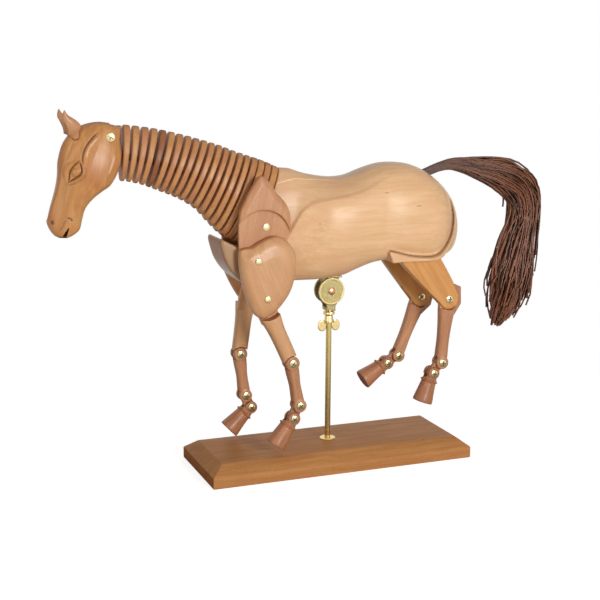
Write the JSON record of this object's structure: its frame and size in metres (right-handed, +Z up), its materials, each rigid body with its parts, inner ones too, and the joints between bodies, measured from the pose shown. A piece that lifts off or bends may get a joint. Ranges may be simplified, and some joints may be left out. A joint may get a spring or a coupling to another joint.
{
  "type": "jointed wooden horse figure",
  "caption": "Jointed wooden horse for posing, on a brass rod and a bevelled board: sliced bending neck, nodding head, hinged legs, horsehair tail.",
  "frame": {"origin": "centre of the base board's underside, on the line of the rod", "axes": "+X towards the tail, -X towards the head, +Z up, -Y is the horse's left side"},
  "size_m": [0.4503, 0.09, 0.3093],
  "materials": {
    "maple": "pale honey maple, satin clear finish, fine grain",
    "base_wood": "orange-brown hardwood, satin clear finish",
    "leg_wood": "darker reddish hardwood, satin clear finish",
    "tan_wood": "pinkish tan wood, satin clear finish",
    "plate_honey": "honey wood slice, edges broken",
    "plate_pink": "pinkish wood slice, edges broken",
    "brass": "polished brass",
    "aged_brass": "mottled greenish brass plating",
    "copper": "copper-coloured rivet",
    "core_wire": "dark bendable wire rope, hidden in the neck",
    "horsehair": "dark brown horsehair tuft"
  },
  "bodies": {
    "stand": {"base_board": "base_wood", "stand_rod": "brass", "foot_ring": "brass"},
    "wing_nut": {"wing_nut": "brass"},
    "yoke": {"swivel_yoke": "aged_brass", "pivot_rivet": "copper"},
    "torso": {"torso": "maple", "belly_bracket": "aged_brass", "tail": "horsehair", "neck_core": "core_wire"},
    "neck_plate_20": {"neck_plate_20": "plate_pink"},
    "neck_plate_19": {"neck_plate_19": "plate_honey"},
    "neck_plate_18": {"neck_plate_18": "plate_pink"},
    "neck_plate_17": {"neck_plate_17": "plate_honey"},
    "neck_plate_16": {"neck_plate_16": "plate_pink"},
    "neck_plate_15": {"neck_plate_15": "plate_honey"},
    "neck_plate_14": {"neck_plate_14": "plate_pink"},
    "neck_plate_13": {"neck_plate_13": "plate_honey"},
    "neck_plate_12": {"neck_plate_12": "plate_pink"},
    "neck_plate_11": {"neck_plate_11": "plate_honey"},
    "neck_plate_10": {"neck_plate_10": "plate_pink"},
    "neck_plate_09": {"neck_plate_09": "plate_honey"},
    "neck_plate_08": {"neck_plate_08": "plate_pink"},
    "neck_plate_07": {"neck_plate_07": "plate_honey"},
    "neck_plate_06": {"neck_plate_06": "plate_pink"},
    "neck_plate_05": {"neck_plate_05": "plate_honey"},
    "neck_plate_04": {"neck_plate_04": "plate_pink"},
    "neck_plate_03": {"neck_plate_03": "plate_honey"},
    "neck_plate_02": {"neck_plate_02": "plate_pink"},
    "neck_plate_01": {"neck_plate_01": "plate_honey"},
    "neck_head_block": {"neck_head_block": "maple"},
    "head": {"head": "maple", "head_screw": "brass", "left_ear": "tan_wood", "right_ear": "tan_wood"},
    "left_shoulder_blade": {"left_shoulder_blade": "tan_wood"},
    "left_upper_arm": {"left_upper_arm": "maple"},
    "left_forearm": {"left_forearm": "maple"},
    "left_fore_cannon": {"left_fore_cannon": "leg_wood"},
    "left_fore_pastern": {"left_fore_pastern": "leg_wood"},
    "left_fore_hoof": {"left_fore_hoof": "leg_wood"},
    "left_thigh": {"left_thigh": "maple"},
    "left_hind_cannon": {"left_hind_cannon": "leg_wood"},
    "left_hind_pastern": {"left_hind_pastern": "leg_wood"},
    "left_hind_hoof": {"left_hind_hoof": "leg_wood"},
    "right_shoulder_blade": {"right_shoulder_blade": "tan_wood"},
    "right_upper_arm": {"right_upper_arm": "maple"},
    "right_forearm": {"right_forearm": "maple"},
    "right_fore_cannon": {"right_fore_cannon": "leg_wood"},
    "right_fore_pastern": {"right_fore_pastern": "leg_wood"},
    "right_fore_hoof": {"right_fore_hoof": "leg_wood"},
    "right_thigh": {"right_thigh": "maple"},
    "right_hind_cannon": {"right_hind_cannon": "leg_wood"},
    "right_hind_pastern": {"right_hind_pastern": "leg_wood"},
    "right_hind_hoof": {"right_hind_hoof": "leg_wood"}
  },
  "joints": [
    {"name": "wing_nut_turn", "type": "hinge", "parent": "stand", "child": "wing_nut", "pos_m": [0, 0, 0.127], "axis": [0, 0, 1], "continuous": true},
    {"name": "stand_swivel", "type": "hinge", "parent": "stand", "child": "yoke", "pos_m": [0, 0, 0.139], "axis": [0, 0, 1], "continuous": true},
    {"name": "body_tilt", "type": "hinge", "parent": "yoke", "child": "torso", "pos_m": [0, 0, 0.152], "axis": [0, 1, 0], "range_deg": [-2, 12]},
    {"name": "neck_pitch_20", "type": "hinge", "parent": "torso", "child": "neck_plate_20", "pos_m": [-0.0638, 0, 0.2266], "axis": [0, 1, 0], "range_deg": [-0.8, 0.8]},
    {"name": "neck_yaw_19", "type": "hinge", "parent": "neck_plate_20", "child": "neck_plate_19", "pos_m": [-0.06955, 0, 0.2293], "axis": [0.4258, 0, 0.9048], "range_deg": [-1.6, 1.6]},
    {"name": "neck_pitch_18", "type": "hinge", "parent": "neck_plate_19", "child": "neck_plate_18", "pos_m": [-0.07529, 0, 0.23201], "axis": [0, 1, 0], "range_deg": [-0.8, 0.8]},
    {"name": "neck_yaw_17", "type": "hinge", "parent": "neck_plate_18", "child": "neck_plate_17", "pos_m": [-0.08104, 0, 0.23471], "axis": [0.4258, 0, 0.9048], "range_deg": [-1.6, 1.6]},
    {"name": "neck_pitch_16", "type": "hinge", "parent": "neck_plate_17", "child": "neck_plate_16", "pos_m": [-0.08678, 0, 0.23741], "axis": [0, 1, 0], "range_deg": [-2, 2], "deforming": ["neck_core"]},
    {"name": "neck_yaw_15", "type": "hinge", "parent": "neck_plate_16", "child": "neck_plate_15", "pos_m": [-0.09253, 0, 0.24012], "axis": [0.4258, 0, 0.9048], "range_deg": [-4, 4]},
    {"name": "neck_pitch_14", "type": "hinge", "parent": "neck_plate_15", "child": "neck_plate_14", "pos_m": [-0.09827, 0, 0.24282], "axis": [0, 1, 0], "range_deg": [-2, 2]},
    {"name": "neck_yaw_13", "type": "hinge", "parent": "neck_plate_14", "child": "neck_plate_13", "pos_m": [-0.10402, 0, 0.24553], "axis": [0.4258, 0, 0.9048], "range_deg": [-4, 4]},
    {"name": "neck_pitch_12", "type": "hinge", "parent": "neck_plate_13", "child": "neck_plate_12", "pos_m": [-0.10977, 0, 0.24823], "axis": [0, 1, 0], "range_deg": [-2, 2]},
    {"name": "neck_yaw_11", "type": "hinge", "parent": "neck_plate_12", "child": "neck_plate_11", "pos_m": [-0.11552, 0, 0.25092], "axis": [0.4205, 0, 0.9073], "range_deg": [-4, 4]},
    {"name": "neck_pitch_10", "type": "hinge", "parent": "neck_plate_11", "child": "neck_plate_10", "pos_m": [-0.12129, 0, 0.25357], "axis": [0, 1, 0], "range_deg": [-2, 2]},
    {"name": "neck_yaw_09", "type": "hinge", "parent": "neck_plate_10", "child": "neck_plate_09", "pos_m": [-0.12709, 0, 0.25615], "axis": [0.3994, 0, 0.9168], "range_deg": [-4, 4]},
    {"name": "neck_pitch_08", "type": "hinge", "parent": "neck_plate_09", "child": "neck_plate_08", "pos_m": [-0.13293, 0, 0.25864], "axis": [0, 1, 0], "range_deg": [-2, 2]},
    {"name": "neck_yaw_07", "type": "hinge", "parent": "neck_plate_08", "child": "neck_plate_07", "pos_m": [-0.13882, 0, 0.26101], "axis": [0.3609, 0, 0.9326], "range_deg": [-4, 4]},
    {"name": "neck_pitch_06", "type": "hinge", "parent": "neck_plate_07", "child": "neck_plate_06", "pos_m": [-0.14477, 0, 0.26323], "axis": [0, 1, 0], "range_deg": [-2, 2]},
    {"name": "neck_yaw_05", "type": "hinge", "parent": "neck_plate_06", "child": "neck_plate_05", "pos_m": [-0.15079, 0, 0.26526], "axis": [0.3041, 0, 0.9526], "range_deg": [-4, 4]},
    {"name": "neck_pitch_04", "type": "hinge", "parent": "neck_plate_05", "child": "neck_plate_04", "pos_m": [-0.15687, 0, 0.26709], "axis": [0, 1, 0], "range_deg": [-2, 2]},
    {"name": "neck_yaw_03", "type": "hinge", "parent": "neck_plate_04", "child": "neck_plate_03", "pos_m": [-0.16302, 0, 0.26867], "axis": [0.2283, 0, 0.9736], "range_deg": [-4, 4]},
    {"name": "neck_pitch_02", "type": "hinge", "parent": "neck_plate_03", "child": "neck_plate_02", "pos_m": [-0.16923, 0, 0.26999], "axis": [0, 1, 0], "range_deg": [-2, 2]},
    {"name": "neck_yaw_01", "type": "hinge", "parent": "neck_plate_02", "child": "neck_plate_01", "pos_m": [-0.1755, 0, 0.271], "axis": [0.1327, 0, 0.9912], "range_deg": [-4, 4]},
    {"name": "neck_pitch_00", "type": "hinge", "parent": "neck_plate_01", "child": "neck_head_block", "pos_m": [-0.18182, 0, 0.27167], "axis": [0, 1, 0], "range_deg": [-2, 2]},
    {"name": "head_nod", "type": "hinge", "parent": "neck_head_block", "child": "head", "pos_m": [-0.19101, 0, 0.28753], "axis": [0, 1, 0], "range_deg": [-2, 26]},
    {"name": "left_shoulder_blade_turn", "type": "hinge", "parent": "torso", "child": "left_shoulder_blade", "pos_m": [-0.0667, 0, 0.213], "axis": [0, -1, 0], "range_deg": [-10, 10]},
    {"name": "left_shoulder", "type": "hinge", "parent": "left_shoulder_blade", "child": "left_upper_arm", "pos_m": [-0.077, 0, 0.1865], "axis": [0, -1, 0], "range_deg": [-19.1, 17.9]},
    {"name": "left_elbow", "type": "hinge", "parent": "left_upper_arm", "child": "left_forearm", "pos_m": [-0.06899, 0, 0.15459], "axis": [0, -1, 0], "range_deg": [-58.3, 6.7]},
    {"name": "left_knee", "type": "hinge", "parent": "left_forearm", "child": "left_fore_cannon", "pos_m": [-0.04547, 0, 0.09755], "axis": [0, -1, 0], "range_deg": [-13.2, 61.8]},
    {"name": "left_fore_fetlock", "type": "hinge", "parent": "left_fore_cannon", "child": "left_fore_pastern", "pos_m": [-0.03845, 0, 0.06], "axis": [0, -1, 0], "range_deg": [-19.1, 65.9]},
    {"name": "left_fore_coffin", "type": "hinge", "parent": "left_fore_pastern", "child": "left_fore_hoof", "pos_m": [-0.04374, 0, 0.04879], "axis": [0, -1, 0], "range_deg": [-70.3, 29.7]},
    {"name": "left_hip", "type": "hinge", "parent": "torso", "child": "left_thigh", "pos_m": [0.068, 0, 0.2], "axis": [0, -1, 0], "range_deg": [-26.8, 8.2]},
    {"name": "left_hock", "type": "hinge", "parent": "left_thigh", "child": "left_hind_cannon", "pos_m": [0.10592, 0, 0.14116], "axis": [0, -1, 0], "range_deg": [-36.8, 43.2]},
    {"name": "left_hind_fetlock", "type": "hinge", "parent": "left_hind_cannon", "child": "left_hind_pastern", "pos_m": [0.1005, 0, 0.08382], "axis": [0, -1, 0], "range_deg": [-18.2, 78.8]},
    {"name": "left_hind_coffin", "type": "hinge", "parent": "left_hind_pastern", "child": "left_hind_hoof", "pos_m": [0.09217, 0, 0.07463], "axis": [0, -1, 0], "range_deg": [-97.7, 27.3]},
    {"name": "right_shoulder_blade_turn", "type": "hinge", "parent": "torso", "child": "right_shoulder_blade", "pos_m": [-0.0667, 0, 0.213], "axis": [0, -1, 0], "range_deg": [-10, 10]},
    {"name": "right_shoulder", "type": "hinge", "parent": "right_shoulder_blade", "child": "right_upper_arm", "pos_m": [-0.077, 0, 0.1865], "axis": [0, -1, 0], "range_deg": [-29.6, 7.4]},
    {"name": "right_elbow", "type": "hinge", "parent": "right_upper_arm", "child": "right_forearm", "pos_m": [-0.0633, 0, 0.15659], "axis": [0, -1, 0], "range_deg": [-15.5, 49.5]},
    {"name": "right_knee", "type": "hinge", "parent": "right_forearm", "child": "right_fore_cannon", "pos_m": [-0.07391, 0, 0.09581], "axis": [0, -1, 0], "range_deg": [-42.2, 32.8]},
    {"name": "right_fore_fetlock", "type": "hinge", "parent": "right_fore_cannon", "child": "right_fore_pastern", "pos_m": [-0.06906, 0, 0.05792], "axis": [0, -1, 0], "range_deg": [-71.6, 13.4]},
    {"name": "right_fore_coffin", "type": "hinge", "parent": "right_fore_pastern", "child": "right_fore_hoof", "pos_m": [-0.06403, 0, 0.04658], "axis": [0, -1, 0], "range_deg": [-9.4, 16.6]},
    {"name": "right_hip", "type": "hinge", "parent": "torso", "child": "right_thigh", "pos_m": [0.068, 0, 0.2], "axis": [0, -1, 0], "range_deg": [-19.2, 15.8]},
    {"name": "right_hock", "type": "hinge", "parent": "right_thigh", "child": "right_hind_cannon", "pos_m": [0.09781, 0, 0.13666], "axis": [0, -1, 0], "range_deg": [-27.5, 52.5]},
    {"name": "right_hind_fetlock", "type": "hinge", "parent": "right_hind_cannon", "child": "right_hind_pastern", "pos_m": [0.07595, 0, 0.08337], "axis": [0, -1, 0], "range_deg": [-17.1, 79.9]},
    {"name": "right_hind_coffin", "type": "hinge", "parent": "right_hind_pastern", "child": "right_hind_hoof", "pos_m": [0.06519, 0, 0.07721], "axis": [0, -1, 0], "range_deg": [-75.8, 49.2]}
  ],
  "couplings": [
    {"joint": "neck_pitch_20", "follows": "neck_pitch_16", "ratio": 0.4},
    {"joint": "neck_yaw_19", "follows": "neck_yaw_15", "ratio": 0.4},
    {"joint": "neck_pitch_18", "follows": "neck_pitch_16", "ratio": 0.4},
    {"joint": "neck_yaw_17", "follows": "neck_yaw_15", "ratio": 0.4},
    {"joint": "neck_pitch_14", "follows": "neck_pitch_16", "ratio": 1},
    {"joint": "neck_yaw_13", "follows": "neck_yaw_15", "ratio": 1},
    {"joint": "neck_pitch_12", "follows": "neck_pitch_16", "ratio": 1},
    {"joint": "neck_yaw_11", "follows": "neck_yaw_15", "ratio": 1},
    {"joint": "neck_pitch_10", "follows": "neck_pitch_16", "ratio": 1},
    {"joint": "neck_yaw_09", "follows": "neck_yaw_15", "ratio": 1},
    {"joint": "neck_pitch_08", "follows": "neck_pitch_16", "ratio": 1},
    {"joint": "neck_yaw_07", "follows": "neck_yaw_15", "ratio": 1},
    {"joint": "neck_pitch_06", "follows": "neck_pitch_16", "ratio": 1},
    {"joint": "neck_yaw_05", "follows": "neck_yaw_15", "ratio": 1},
    {"joint": "neck_pitch_04", "follows": "neck_pitch_16", "ratio": 1},
    {"joint": "neck_yaw_03", "follows": "neck_yaw_15", "ratio": 1},
    {"joint": "neck_pitch_02", "follows": "neck_pitch_16", "ratio": 1},
    {"joint": "neck_yaw_01", "follows": "neck_yaw_15", "ratio": 1},
    {"joint": "neck_pitch_00", "follows": "neck_pitch_16", "ratio": 1}
  ]
}
